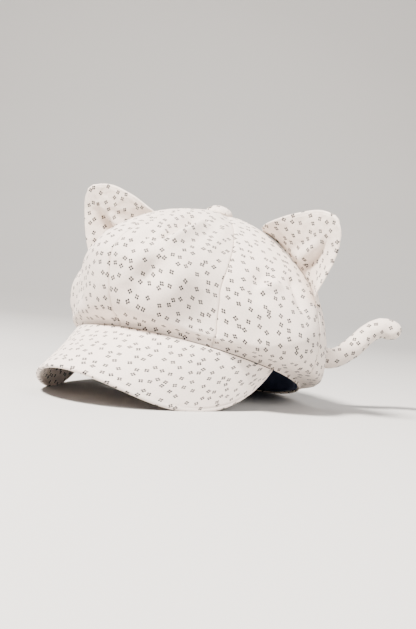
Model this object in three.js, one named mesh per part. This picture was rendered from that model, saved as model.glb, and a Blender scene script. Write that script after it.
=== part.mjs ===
// Cat ear octagonal cap: eight crown gores, a covered button, a two-cover brim, two cupped ears,
// a stuffed tail, a sweatband and a lining.
// Millimetres and degrees. In the cap's own frame the rim is the plane z = 0, the front is -Y
// and the wearer's left is +X. A turn is the angle round the crown: 0 at the front seam, 90 at the
// wearer's left. The whole cap is then tilted back until it rests on its brim and its back rim.
import * as THREE from 'three';

// Rim and crown
const rimHalfWidth = 89;
const rimHalfDepth = 97;
const crownHeight = 120;
const clothThickness = 1.5;
const crownLean = 2.9;
const goreCount = 8;
const seamGap = 0.3;
const seamDepth = 1.0;
const seamWidth = 7;
const frontFlatness = 0.19;
const backFlatness = 0.12;
const eyeRadius = 5;

// Lining and sweatband
const liningThickness = 1.0;
const liningSlack = 8;
const hemRise = 1.5;
const sweatbandThickness = 1.2;
const sweatbandHeight = 30;

// Brim
const brimLength = 65;
const brimSpan = 78;
const brimDroop = 41;
const brimArch = 37.5;
const brimFan = -0.39;
const brimCornerPower = 5.8;
const brimEdgePower = 1.08;
const brimCornerLength = 2.5;
const brimCoverThickness = 1.4;

// Button
const buttonRadius = 11.5;
const buttonHeight = 7;
const buttonSkirt = 1.2;

// Ears
const earHeight = 65;
const earThickness = 4;
const earEdgeThickness = 2.4;
const earLeanLeft = 34;
const earLeanRight = 42;
const earCup = 11;
const earBaseLow = 0.585;
const earSwayLeft = 4;
const earSwayRight = -7;
const earBaseHigh = 0.88;
const dartDepth = 4;
const dartWidth = 5;
const dartTop = 0.7;

// Tail
const tailRadius = 8;
const tailReach = 67;
const tailRise = 37;
const tailTurn = 130;
const tailAlong = 0.425;

// Folds of the crown
const foldHeight = 5;
const foldWidth = 11;

// Clearances and rest
const clearance = 0.3;
const restFlat = 1.3;

// How finely each surface is divided
const goreColumns = 8;
const goreRows = 14;
const liningColumns = 32;
const liningRows = [0, 0.07, 0.14, 0.21, 0.28, 0.35, 0.46, 0.6, 0.74, 0.88];
const brimColumns = 24;
const brimRows = 7;
const earColumns = 12;
const earHeights = [0, 0.1, 0.22, 0.34, 0.46, 0.58, 0.7, 0.81, 0.91, 0.98, 1];
const tailSides = 10;
const tailRings = 26;
const tailTipTurns = [30, 60, 80];
const buttonSides = 24;
const buttonRings = [1, 0.94, 0.8, 0.55, 0.28];

// Sections of the crown from the rim up to the button. Reaches are shares of the rim's half depth
// (front, back, forward shift of the side seams) or half width (side), heights of the crown's height.
const crownSections = [
  { front: 1.00, frontHeight: 0.000, side: 1.00, sideHeight: 0.000, forward: 0.00, back: 1.00, backHeight: 0.000 },
  { front: 1.02, frontHeight: 0.028, side: 1.02, sideHeight: 0.020, forward: 0.00, back: 1.01, backHeight: 0.028 },
  { front: 1.13, frontHeight: 0.060, side: 1.12, sideHeight: 0.040, forward: 0.00, back: 1.06, backHeight: 0.055 },
  { front: 1.21, frontHeight: 0.120, side: 1.22, sideHeight: 0.072, forward: 0.01, back: 1.06, backHeight: 0.105 },
  { front: 1.28, frontHeight: 0.205, side: 1.28, sideHeight: 0.120, forward: 0.06, back: 1.01, backHeight: 0.180 },
  { front: 1.335, frontHeight: 0.305, side: 1.31, sideHeight: 0.200, forward: 0.11, back: 0.935, backHeight: 0.270 },
  { front: 1.36, frontHeight: 0.400, side: 1.30, sideHeight: 0.300, forward: 0.14, back: 0.85, backHeight: 0.370 },
  { front: 1.31, frontHeight: 0.500, side: 1.25, sideHeight: 0.410, forward: 0.145, back: 0.76, backHeight: 0.475 },
  { front: 1.19, frontHeight: 0.600, side: 1.16, sideHeight: 0.535, forward: 0.13, back: 0.67, backHeight: 0.580 },
  { front: 1.03, frontHeight: 0.705, side: 1.02, sideHeight: 0.660, forward: 0.13, back: 0.565, backHeight: 0.680 },
  { front: 0.84, frontHeight: 0.810, side: 0.84, sideHeight: 0.770, forward: 0.155, back: 0.435, backHeight: 0.780 },
  { front: 0.63, frontHeight: 0.900, side: 0.61, sideHeight: 0.880, forward: 0.185, back: 0.265, backHeight: 0.865 },
  { front: 0.42, frontHeight: 0.965, side: 0.335, sideHeight: 0.960, forward: 0.205, back: 0.05, backHeight: 0.940 },
  { front: 0.21, frontHeight: 1.000, side: 0.00, sideHeight: 1.000, forward: 0.21, back: -0.21, backHeight: 1.000 },
];

// Sections of the sweatband: reach as a share of the rim's, at the front and sides and at the back.
const sweatbandSections = [
  { height: 0.0, front: 1.000, back: 1.00 },
  { height: 0.5, front: 0.975, back: 0.88 },
  { height: 1.0, front: 0.945, back: 0.76 },
];

// Folds of the crown's cloth: each runs straight from one place to another, as shares of the way up;
// height is a share of foldHeight (hollows are negative) and width a share of foldWidth.
const crownFolds = [
  { fromTurn: 18, fromAlong: 0.58, toTurn: 22, toAlong: 0.73, height: 0.7, width: 0.50 },
  { fromTurn: 13, fromAlong: 0.60, toTurn: 17, toAlong: 0.75, height: -0.9, width: 0.70 },
  { fromTurn: 12, fromAlong: 0.57, toTurn: 12, toAlong: 0.64, height: 0.4, width: 0.40 },
  { fromTurn: 7, fromAlong: 0.48, toTurn: 10, toAlong: 0.57, height: -0.4, width: 0.55 },
  { fromTurn: 14, fromAlong: 0.37, toTurn: 18, toAlong: 0.45, height: -0.5, width: 0.60 },
  { fromTurn: 10, fromAlong: 0.29, toTurn: 17, toAlong: 0.42, height: -0.4, width: 0.75 },
  { fromTurn: 23, fromAlong: 0.34, toTurn: 27, toAlong: 0.43, height: 0.5, width: 0.90 },
  { fromTurn: 31, fromAlong: 0.14, toTurn: 43, toAlong: 0.44, height: -0.6, width: 1.50 },
  { fromTurn: 60, fromAlong: 0.53, toTurn: 62, toAlong: 0.61, height: -0.6, width: 0.60 },
  { fromTurn: 61, fromAlong: 0.54, toTurn: 67, toAlong: 0.59, height: 0.5, width: 0.45 },
  { fromTurn: 76, fromAlong: 0.63, toTurn: 79, toAlong: 0.55, height: -0.4, width: 0.50 },
  { fromTurn: 56, fromAlong: 0.21, toTurn: 79, toAlong: 0.40, height: 0.5, width: 0.90 },
  { fromTurn: 62, fromAlong: 0.10, toTurn: 73, toAlong: 0.27, height: -0.4, width: 0.65 },
  { fromTurn: 78, fromAlong: 0.12, toTurn: 85, toAlong: 0.30, height: -0.4, width: 0.65 },
  { fromTurn: 113, fromAlong: 0.45, toTurn: 119, toAlong: 0.65, height: -0.4, width: 1.00 },
  { fromTurn: 156, fromAlong: 0.30, toTurn: 163, toAlong: 0.55, height: -0.4, width: 1.10 },
  { fromTurn: 205, fromAlong: 0.30, toTurn: 198, toAlong: 0.55, height: -0.4, width: 1.10 },
  { fromTurn: 248, fromAlong: 0.25, toTurn: 240, toAlong: 0.50, height: -0.4, width: 1.00 },
  { fromTurn: 297, fromAlong: 0.25, toTurn: 305, toAlong: 0.50, height: -0.5, width: 1.10 },
  { fromTurn: 337, fromAlong: 0.28, toTurn: 342, toAlong: 0.50, height: -0.4, width: 1.00 },
];

// Outline of an ear: the inner and outer edges as shares of half its base, and how far both edges
// curl forward as a share of earCup, at each share of its height.
const earOutline = [
  { height: 0.00, inner: -1.00, outer: 1.00, cup: 0.0 },
  { height: 0.12, inner: -0.93, outer: 0.98, cup: 0.7 },
  { height: 0.26, inner: -0.84, outer: 0.94, cup: 1.0 },
  { height: 0.40, inner: -0.73, outer: 0.89, cup: 0.8 },
  { height: 0.55, inner: -0.60, outer: 0.80, cup: 0.5 },
  { height: 0.70, inner: -0.43, outer: 0.69, cup: 0.2 },
  { height: 0.82, inner: -0.28, outer: 0.58, cup: 0.0 },
  { height: 0.92, inner: -0.12, outer: 0.46, cup: 0.0 },
  { height: 0.98, inner: 0.02, outer: 0.34, cup: 0.0 },
  { height: 1.00, inner: 0.10, outer: 0.26, cup: 0.0 },
];

// Route of the tail from its seam outwards: out is a share of tailReach, up of tailRise.
const tailRoute = [
  { out: 0.12, up: -0.02 },
  { out: 0.28, up: 0.06 },
  { out: 0.42, up: 0.28 },
  { out: 0.52, up: 0.52 },
  { out: 0.63, up: 0.80 },
  { out: 0.76, up: 0.98 },
  { out: 0.90, up: 0.99 },
  { out: 1.00, up: 0.90 },
];

const degree = Math.PI / 180;

function mix(a, b, share) {
  return a + (b - a) * share;
}

function smoothStep(low, high, value) {
  const share = Math.min(1, Math.max(0, (value - low) / (high - low)));
  return share * share * (3 - 2 * share);
}

// A column of a table read at any share of its length, as a smooth curve through its rows.
function column(table, name, share) {
  const last = table.length - 1;
  const place = Math.min(last, Math.max(0, share * last));
  const row = Math.min(last - 1, Math.floor(place));
  const t = place - row;
  const value = (i) => table[Math.min(last, Math.max(0, i))][name];
  const leaving = row > 0 ? (value(row + 1) - value(row - 1)) / 2 : value(1) - value(0);
  const arriving = row + 1 < last ? (value(row + 2) - value(row)) / 2 : value(last) - value(last - 1);
  const rise = value(row + 1) - value(row);
  const bend = 3 * rise - 2 * leaving - arriving;
  const twist = leaving + arriving - 2 * rise;
  return value(row) + t * (leaving + t * (bend + t * twist));
}

// The crown's smooth surface at a turn and a share of the way from the rim up to the button.
function crownSurface(turn, along) {
  const c = Math.cos(turn * degree);
  const s = Math.sin(turn * degree);
  const read = (name) => column(crownSections, name, along);
  const settled = smoothStep(0.08, 0.3, along);
  const flatness = c > 0 ? frontFlatness * smoothStep(0.02, 0.4, along) : backFlatness * smoothStep(0.02, 0.6, along);
  const ease = 1 - flatness * Math.sin(2 * turn * degree) ** 2;
  const shift = read('forward') * rimHalfDepth;
  const x = read('side') * rimHalfWidth * s * ease;
  const end = c > 0 ? read('front') * rimHalfDepth - shift : read('back') * rimHalfDepth + shift;
  const y = -shift - end * c * ease;
  const endHeight = c > 0 ? read('frontHeight') : read('backHeight');
  const z = crownHeight * mix(read('sideHeight'), endHeight, c * c);
  const lean = crownLean * degree * settled;
  return new THREE.Vector3(x * Math.cos(lean) + z * Math.sin(lean), y, z * Math.cos(lean) - x * Math.sin(lean));
}

function surfaceFrame(surface, u, v, stepU, stepV) {
  const alongU = surface(u + stepU, v).sub(surface(u - stepU, v)).divideScalar(2 * stepU);
  const alongV = surface(u, v + stepV).sub(surface(u, v - stepV)).divideScalar(2 * stepV);
  const normal = new THREE.Vector3().crossVectors(alongU, alongV).normalize();
  return { alongU, alongV, normal };
}

const turnStep = 0.5;
const alongStep = 0.004;

function crownFrame(turn, along) {
  const safe = Math.min(1 - 2 * alongStep, Math.max(alongStep, along));
  return surfaceFrame(crownSurface, turn, safe, turnStep, alongStep);
}

function foldRelief(turn, along, frame) {
  let relief = 0;
  for (const fold of crownFolds) {
    const across = (fold.toTurn - fold.fromTurn) * frame.alongU.length();
    const up = (fold.toAlong - fold.fromAlong) * frame.alongV.length();
    const x = (turn - fold.fromTurn) * frame.alongU.length();
    const y = (along - fold.fromAlong) * frame.alongV.length();
    const share = Math.min(1, Math.max(0, (x * across + y * up) / (across * across + up * up)));
    const distance = Math.hypot(x - across * share, y - up * share);
    relief += fold.height * foldHeight * Math.exp(-((distance / (fold.width * foldWidth)) ** 2));
  }
  return relief;
}

const goreTurn = 360 / goreCount;

// A point of the crown's cloth, at a depth below its outer face.
function crownCloth(turn, along, depth) {
  const frame = crownFrame(turn, along);
  const toSeam = Math.abs(turn - goreTurn * Math.round(turn / goreTurn)) * frame.alongU.length();
  const seam = seamDepth * smoothStep(0.08, 0.2, along) * Math.exp(-((toSeam / seamWidth) ** 2));
  const relief = smoothStep(0.12, 0.3, along) * foldRelief(turn, along, frame);
  return crownSurface(turn, along).addScaledVector(frame.normal, relief - seam - depth);
}

// The share of the way up at which the crown, at a turn, is a given distance from its top.
function alongAtRadius(turn, radius) {
  const top = crownSurface(turn, 1);
  let low = 0.75;
  let high = 1;
  for (let i = 0; i < 30; i += 1) {
    const middle = (low + high) / 2;
    if (crownSurface(turn, middle).distanceTo(top) > radius) {
      low = middle;
    } else {
      high = middle;
    }
  }
  return low;
}

// A closed solid between two grids of points, given as grid[i][j]. With closed = true the grid's
// first and last columns meet. A pole pair closes the grid's last row to one point on each face.
function solidBetween(front, back, closed = false, poles = null) {
  const columns = front.length;
  const rows = front[0].length;
  const positions = [];
  const triangles = [];
  const index = (face, i, j) => (face * columns + (i % columns)) * rows + j;
  for (const grid of [front, back]) {
    for (const line of grid) {
      for (const point of line) {
        positions.push(point.x, point.y, point.z);
      }
    }
  }
  const quad = (a, b, c, d) => triangles.push(a, b, c, a, c, d);
  const spans = closed ? columns : columns - 1;
  for (let i = 0; i < spans; i += 1) {
    for (let j = 0; j < rows - 1; j += 1) {
      quad(index(0, i, j), index(0, i + 1, j), index(0, i + 1, j + 1), index(0, i, j + 1));
      quad(index(1, i, j), index(1, i, j + 1), index(1, i + 1, j + 1), index(1, i + 1, j));
    }
    quad(index(0, i, 0), index(1, i, 0), index(1, i + 1, 0), index(0, i + 1, 0));
    if (!poles) {
      quad(index(0, i, rows - 1), index(0, i + 1, rows - 1), index(1, i + 1, rows - 1), index(1, i, rows - 1));
    }
  }
  if (!closed) {
    const end = columns - 1;
    for (let j = 0; j < rows - 1; j += 1) {
      quad(index(0, 0, j), index(0, 0, j + 1), index(1, 0, j + 1), index(1, 0, j));
      quad(index(0, end, j), index(1, end, j), index(1, end, j + 1), index(0, end, j + 1));
    }
  }
  if (poles) {
    poles.forEach((pole, face) => {
      positions.push(pole.x, pole.y, pole.z);
      const top = positions.length / 3 - 1;
      for (let i = 0; i < spans; i += 1) {
        const a = index(face, i, rows - 1);
        const b = index(face, i + 1, rows - 1);
        triangles.push(...(face === 0 ? [a, b, top] : [b, a, top]));
      }
    });
  }
  return closedGeometry(positions, triangles);
}

// Builds the geometry, with every face turned outwards.
function closedGeometry(positions, triangles) {
  const corner = (i) => new THREE.Vector3().fromArray(positions, 3 * triangles[i]);
  let volume = 0;
  for (let i = 0; i < triangles.length; i += 3) {
    volume += corner(i).dot(corner(i + 1).cross(corner(i + 2)));
  }
  if (volume < 0) {
    for (let i = 0; i < triangles.length; i += 3) {
      [triangles[i], triangles[i + 1]] = [triangles[i + 1], triangles[i]];
    }
  }
  const geometry = new THREE.BufferGeometry();
  geometry.setAttribute('position', new THREE.Float32BufferAttribute(positions, 3));
  geometry.setIndex(triangles);
  geometry.computeVertexNormals();
  return geometry;
}

function grid(columns, rows, place) {
  const lines = [];
  for (let i = 0; i < columns; i += 1) {
    const line = [];
    for (let j = 0; j < rows; j += 1) {
      line.push(place(i, j));
    }
    lines.push(line);
  }
  return lines;
}

// The brim's middle surface: side runs from -1 to 1 across it, out from 0 at the rim to 1 at its edge.
function brimSurface(side, out) {
  const turn = side * brimSpan * degree;
  const taper = Math.max(0, 1 - Math.abs(side) ** brimCornerPower) ** (1 / brimEdgePower);
  const length = brimCornerLength + (brimLength - brimCornerLength) * taper;
  const droop = (brimDroop + brimArch * side * side) * degree;
  const heading = brimFan * turn;
  const reach = length * out * Math.cos(droop);
  const seat = clearance + (brimCoverThickness + clearance / 2) * Math.cos(droop);
  return new THREE.Vector3(
    rimHalfWidth * Math.sin(turn) + reach * Math.sin(heading),
    -rimHalfDepth * Math.cos(turn) - reach * Math.cos(heading),
    -seat - length * out * Math.sin(droop),
  );
}

const brimStep = 0.01;

function brimLayer(side, out, depth) {
  const inside = Math.min(1 - 2 * brimStep, Math.max(2 * brimStep - 1, side));
  const { normal } = surfaceFrame(brimSurface, inside, Math.max(brimStep, out), brimStep, brimStep);
  return brimSurface(side, out).addScaledVector(normal, depth);
}

function brimCover(upper) {
  const near = clearance / 2;
  const far = near + brimCoverThickness;
  const face = (depth) => grid(brimColumns + 1, brimRows + 1, (i, j) => (
    brimLayer(2 * i / brimColumns - 1, j / brimRows, depth)
  ));
  return upper ? solidBetween(face(far), face(near)) : solidBetween(face(-near), face(-far));
}

// One gore, from its hem at the rim up to the round eye under the button.
function gore(order) {
  const from = order * goreTurn;
  const face = (depth) => grid(goreColumns + 1, goreRows + 1, (i, j) => {
    const turn = from + goreTurn * i / goreColumns;
    const along = alongAtRadius(turn, eyeRadius) * j / goreRows;
    const point = crownCloth(turn, along, depth);
    if (i === 0 || i === goreColumns) {
      const across = crownFrame(turn, along).alongU.normalize();
      point.addScaledVector(across, i === 0 ? seamGap / 2 : -seamGap / 2);
    }
    return point;
  });
  return solidBetween(face(0), face(clothThickness));
}

// The lining hangs free of the crown's cloth above the rim, clear of every fold.
function liningPoint(turn, along, depth) {
  const slack = liningSlack * mix(smoothStep(0, 0.07, along), smoothStep(0.07, 0.3, along), 0.85);
  const away = clothThickness + clearance + slack + depth;
  const point = crownSurface(turn, along).addScaledVector(crownFrame(turn, along).normal, -away);
  point.z = Math.max(point.z, hemRise);
  return point;
}

function lining() {
  const face = (depth) => grid(liningColumns, liningRows.length, (i, j) => (
    liningPoint(i * 360 / liningColumns, liningRows[j], depth)
  ));
  const pole = (depth) => new THREE.Vector3(
    0,
    crownSurface(0, 1).y,
    crownHeight - clothThickness - clearance - liningSlack - depth,
  );
  return solidBetween(face(0), face(liningThickness), true, [pole(0), pole(liningThickness)]);
}

// The sweatband stands up inside the rim, leaning in at the back as the crown does.
function sweatband() {
  const columns = liningColumns;
  const face = (depth) => grid(columns, sweatbandSections.length, (i, j) => {
    const turn = i * 360 / columns * degree;
    const section = sweatbandSections[j];
    const back = Math.max(0, -Math.cos(turn));
    const reach = mix(section.front, section.back, back);
    const inset = clothThickness + liningThickness + 3 * clearance + depth;
    return new THREE.Vector3(
      (rimHalfWidth - inset) * reach * Math.sin(turn),
      -(rimHalfDepth - inset) * reach * Math.cos(turn),
      hemRise + section.height * (sweatbandHeight - hemRise),
    );
  });
  return solidBetween(face(0), face(sweatbandThickness), true);
}

// The button follows the crown's top under it.
function button() {
  const axis = new THREE.Vector3(Math.sin(crownLean * degree), 0, Math.cos(crownLean * degree));
  const place = (turn, share, lift) => {
    const along = alongAtRadius(turn, buttonRadius * share);
    return crownSurface(turn, along).addScaledVector(axis, lift);
  };
  const dome = (share) => buttonSkirt + (buttonHeight - buttonSkirt) * Math.sqrt(1 - share * share);
  const face = (lift) => grid(buttonSides, buttonRings.length, (i, j) => (
    place(i * 360 / buttonSides, buttonRings[j], lift(buttonRings[j]))
  ));
  const seat = clearance - 0.65 * seamDepth;
  const under = () => seat;
  const top = crownSurface(0, 1);
  const poles = [
    top.clone().addScaledVector(axis, buttonHeight),
    top.clone().addScaledVector(axis, seat),
  ];
  return solidBetween(face(dome), face(under), true, poles);
}

// An ear stands on a side seam of the crown: hand is 1 for the left ear and -1 for the right.
function ear(hand) {
  const turnBase = 90 * hand;
  const seamPoint = (along) => crownSurface(turnBase, along);
  const inner = seamPoint(earBaseHigh);
  const outer = seamPoint(earBaseLow);
  const middle = inner.clone().add(outer).multiplyScalar(0.5);
  const along = outer.clone().sub(inner);
  const halfBase = along.length() / 2;
  along.normalize();
  const normal = crownFrame(turnBase, (earBaseHigh + earBaseLow) / 2).normal;
  const forward = new THREE.Vector3(0, -1, 0);
  const lean = (hand > 0 ? earLeanLeft : earLeanRight) * degree;
  const rise = normal.clone().multiplyScalar(Math.cos(lean));
  rise.addScaledVector(forward, Math.sin(lean));
  rise.addScaledVector(along, -rise.dot(along)).normalize();
  const facing = new THREE.Vector3().crossVectors(along, rise).multiplyScalar(hand);
  const sway = (hand > 0 ? earSwayLeft : earSwayRight) * degree;
  rise.multiplyScalar(Math.cos(sway)).addScaledVector(along, Math.sin(sway));
  const point = (i, j, face) => {
    const up = earHeights[j];
    const across = 2 * i / earColumns - 1;
    const share = (across + 1) / 2;
    const read = (name) => earEdge(name, up);
    const sideways = mix(read('inner'), read('outer'), share);
    if (j === 0) {
      const off = face * 0.5 * earThickness / crownFrame(turnBase, earBaseLow).alongU.length();
      const base = mix(earBaseHigh, earBaseLow, share);
      const turn = turnBase - hand * off;
      const lift = clearance - 0.5 * seamDepth;
      return crownSurface(turn, base).addScaledVector(crownFrame(turn, base).normal, lift);
    }
    const onChord = inner.clone().lerp(outer, share);
    const bulge = seamPoint(mix(earBaseHigh, earBaseLow, share)).sub(onChord);
    const thick = mix(earThickness, earEdgeThickness, across ** 2) / 2;
    const dart = dartDepth * Math.exp(-((across * halfBase / dartWidth) ** 2)) * (1 - smoothStep(0, dartTop, up));
    const cup = earCup * read('cup') * across * across;
    return middle.clone()
      .addScaledVector(along, sideways * halfBase)
      .addScaledVector(rise, up * earHeight)
      .addScaledVector(bulge, (1 - up) ** 2)
      .addScaledVector(facing, cup - dart + face * thick);
  };
  const face = (side) => grid(earColumns + 1, earHeights.length, (i, j) => point(i, j, side));
  return solidBetween(face(1), face(-1));
}

// An ear's edge at any share of its height, straight between the rows of its outline.
function earEdge(name, up) {
  const row = Math.max(1, earOutline.findIndex((section) => section.height >= up));
  const below = earOutline[row - 1];
  const above = earOutline[row];
  return mix(below[name], above[name], (up - below.height) / (above.height - below.height));
}

// The tail: a stuffed tube from the crown's back left, rising and bending over to a round end.
function tail() {
  const root = crownSurface(tailTurn, tailAlong);
  const away = new THREE.Vector3(Math.sin(tailTurn * degree), -Math.cos(tailTurn * degree), 0);
  const up = new THREE.Vector3(0, 0, 1);
  const points = tailRoute.map(({ out, up: height }) => (
    root.clone().addScaledVector(away, out * tailReach).addScaledVector(up, height * tailRise)
  ));
  const curve = new THREE.CatmullRomCurve3([root, ...points], false, 'centripetal');
  const length = curve.getLength();
  const sideways = new THREE.Vector3().crossVectors(up, away);
  const ring = (centre, tangent, radius) => {
    const above = new THREE.Vector3().crossVectors(tangent, sideways).normalize();
    return grid(1, tailSides, (i, j) => {
      const angle = 2 * Math.PI * j / tailSides;
      return centre.clone()
        .addScaledVector(sideways, radius * Math.cos(angle))
        .addScaledVector(above, radius * Math.sin(angle));
    })[0];
  };
  const rings = [];
  const frame = crownFrame(tailTurn, tailAlong);
  rings.push(grid(1, tailSides, (i, j) => {
    const angle = 2 * Math.PI * j / tailSides;
    const turn = tailTurn + tailRadius * Math.cos(angle) / frame.alongU.length();
    const along = tailAlong + tailRadius * Math.sin(angle) / frame.alongV.length();
    return crownCloth(turn, along, -clearance);
  })[0]);
  const first = tailRadius * 0.9;
  const tip = length - tailRadius;
  for (let i = 0; i < tailRings; i += 1) {
    const travelled = first + (tip - first) * i / (tailRings - 1);
    const share = travelled / length;
    rings.push(ring(curve.getPointAt(share), curve.getTangentAt(share), tailRadius));
  }
  for (const turned of tailTipTurns) {
    const share = (tip + tailRadius * Math.sin(turned * degree)) / length;
    rings.push(ring(curve.getPointAt(share), curve.getTangentAt(share), tailRadius * Math.cos(turned * degree)));
  }
  const positions = [];
  const triangles = [];
  for (const line of rings) {
    for (const point of line) {
      positions.push(point.x, point.y, point.z);
    }
  }
  for (let i = 0; i < rings.length - 1; i += 1) {
    for (let j = 0; j < tailSides; j += 1) {
      const next = (j + 1) % tailSides;
      const a = i * tailSides + j;
      const b = i * tailSides + next;
      triangles.push(a, b, b + tailSides, a, b + tailSides, a + tailSides);
    }
  }
  const rootCentre = crownCloth(tailTurn, tailAlong, -clearance);
  const tipCentre = curve.getPointAt(1);
  positions.push(rootCentre.x, rootCentre.y, rootCentre.z, tipCentre.x, tipCentre.y, tipCentre.z);
  const rootIndex = rings.length * tailSides;
  const lastRing = (rings.length - 1) * tailSides;
  for (let j = 0; j < tailSides; j += 1) {
    const next = (j + 1) % tailSides;
    triangles.push(rootIndex, next, j);
    triangles.push(rootIndex + 1, lastRing + j, lastRing + next);
  }
  return closedGeometry(positions, triangles);
}

const clothColour = 0xe3d8d1;
const liningColour = 0x10131f;
const sweatbandColour = 0x0b0c14;

const pieces = [
  { name: 'gore_front_left', geometry: gore(0), colour: clothColour },
  { name: 'gore_side_front_left', geometry: gore(1), colour: clothColour },
  { name: 'gore_side_back_left', geometry: gore(2), colour: clothColour },
  { name: 'gore_back_left', geometry: gore(3), colour: clothColour },
  { name: 'gore_back_right', geometry: gore(4), colour: clothColour },
  { name: 'gore_side_back_right', geometry: gore(5), colour: clothColour },
  { name: 'gore_side_front_right', geometry: gore(6), colour: clothColour },
  { name: 'gore_front_right', geometry: gore(7), colour: clothColour },
  { name: 'button', geometry: button(), colour: clothColour },
  { name: 'brim_upper_cover', geometry: brimCover(true), colour: clothColour },
  { name: 'brim_under_cover', geometry: brimCover(false), colour: clothColour },
  { name: 'sweatband', geometry: sweatband(), colour: sweatbandColour },
  { name: 'lining', geometry: lining(), colour: liningColour },
  { name: 'ear_left', geometry: ear(1), colour: clothColour },
  { name: 'ear_right', geometry: ear(-1), colour: clothColour },
  { name: 'tail', geometry: tail(), colour: clothColour },
];

function lowest(names, tilt) {
  let low = Infinity;
  for (const { geometry } of pieces.filter((piece) => piece.name.startsWith(names))) {
    const place = geometry.attributes.position;
    for (let i = 0; i < place.count; i += 1) {
      low = Math.min(low, place.getZ(i) * Math.cos(tilt) - place.getY(i) * Math.sin(tilt));
    }
  }
  return low;
}

// The tilt at which the brim and the back rim both touch the floor.
function restTilt() {
  let low = 0;
  let high = 40 * degree;
  for (let i = 0; i < 40; i += 1) {
    const middle = (low + high) / 2;
    if (lowest('brim', middle) < lowest('gore', middle)) {
      low = middle;
    } else {
      high = middle;
    }
  }
  return low;
}

const tilt = restTilt();
const floor = lowest('gore', tilt) + restFlat;
const bounds = new THREE.Box3();

for (const { geometry } of pieces) {
  geometry.rotateX(-tilt);
  const place = geometry.attributes.position;
  for (let i = 0; i < place.count; i += 1) {
    place.setZ(i, Math.max(place.getZ(i), floor));
  }
  geometry.computeBoundingBox();
  bounds.union(geometry.boundingBox);
}

const cap = new THREE.Group();
cap.name = 'cat_ear_octagonal_cap';
const middle = bounds.getCenter(new THREE.Vector3());

for (const { name, geometry, colour } of pieces) {
  geometry.translate(-middle.x, -middle.y, -bounds.min.z);
  geometry.computeVertexNormals();
  const material = new THREE.MeshStandardMaterial({ color: colour, roughness: 0.9, metalness: 0 });
  const mesh = new THREE.Mesh(geometry, material);
  mesh.name = name;
  cap.add(mesh);
}

export default cap;
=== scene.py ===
"""Cat ear octagonal cap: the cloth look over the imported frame.

Shapes are worked out in millimetres in the cap's own frame (rim plane at z = 0, front at -Y, the
wearer's left at +X), then tilted and placed on the floor where the frame's solids are. A place on
the crown is given by its turn, in degrees from the front towards the wearer's left, and by its
share of the way up from the rim to the top, which is called along.
"""
import math

import bpy
import numpy as np
from mathutils import Matrix, Vector, noise


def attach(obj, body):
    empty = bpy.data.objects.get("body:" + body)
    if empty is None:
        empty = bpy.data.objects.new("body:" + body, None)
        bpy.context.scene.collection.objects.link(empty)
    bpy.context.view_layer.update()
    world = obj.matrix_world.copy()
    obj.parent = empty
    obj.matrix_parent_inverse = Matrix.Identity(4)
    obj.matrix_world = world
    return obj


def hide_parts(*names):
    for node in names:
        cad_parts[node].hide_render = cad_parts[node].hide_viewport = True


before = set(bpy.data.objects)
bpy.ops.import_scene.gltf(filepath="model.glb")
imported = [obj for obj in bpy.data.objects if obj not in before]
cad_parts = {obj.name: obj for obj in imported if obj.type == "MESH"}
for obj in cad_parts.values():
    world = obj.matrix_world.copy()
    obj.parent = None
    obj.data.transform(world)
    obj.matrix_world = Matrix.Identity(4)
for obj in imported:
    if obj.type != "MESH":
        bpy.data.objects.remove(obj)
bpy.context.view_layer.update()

# Named sizes, as in the part's source, in millimetres and degrees.
RIM_HALF_WIDTH = 89.0
RIM_HALF_DEPTH = 97.0
CROWN_HEIGHT = 120.0
CLOTH_THICKNESS = 1.5
CROWN_LEAN = 2.9
SEAM_DEPTH = 1.0
SEAM_WIDTH = 7.0
FRONT_FLATNESS = 0.19
BACK_FLATNESS = 0.12
EYE_RADIUS = 5.0
LINING_THICKNESS = 1.0
LINING_SLACK = 8.0
HEM_RISE = 1.5
SWEATBAND_THICKNESS = 1.2
SWEATBAND_HEIGHT = 30.0
BRIM_LENGTH = 65.0
BRIM_SPAN = 78.0
BRIM_DROOP = 41.0
BRIM_ARCH = 37.5
BRIM_FAN = -0.39
BRIM_CORNER_POWER = 5.8
BRIM_EDGE_POWER = 1.08
BRIM_CORNER_LENGTH = 2.5
BRIM_COVER_THICKNESS = 1.4
BUTTON_RADIUS = 11.5
BUTTON_HEIGHT = 7.0
BUTTON_SKIRT = 1.2
EAR_HEIGHT = 65.0
EAR_THICKNESS = 4.0
EAR_EDGE_THICKNESS = 2.4
EAR_CUP = 11.0
EAR_BASE_LOW = 0.585
EAR_BASE_HIGH = 0.88
TAIL_RADIUS = 8.0
TAIL_REACH = 67.0
TAIL_RISE = 37.0
TAIL_TURN = 130.0
TAIL_ALONG = 0.425
FOLD_HEIGHT = 5.0
FOLD_WIDTH = 11.0
CLEARANCE = 0.3

# How the cap lies on the floor: its tilt in degrees, then the shift of its frame in millimetres.
REST_TILT = 15.970754
PLACE = (-11.320, 23.103, 25.389)

# The two ears differ a little: degrees, then millimetres. 1 is the left ear and -1 the right.
EAR_LEAN = {1: 34.0, -1: 42.0}
EAR_SWAY = {1: 4.0, -1: -7.0}
EAR_DART_DEPTH = {1: 3.4, -1: 7.5}
EAR_DART_REACH = {1: 20.0, -1: 13.0}

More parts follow.
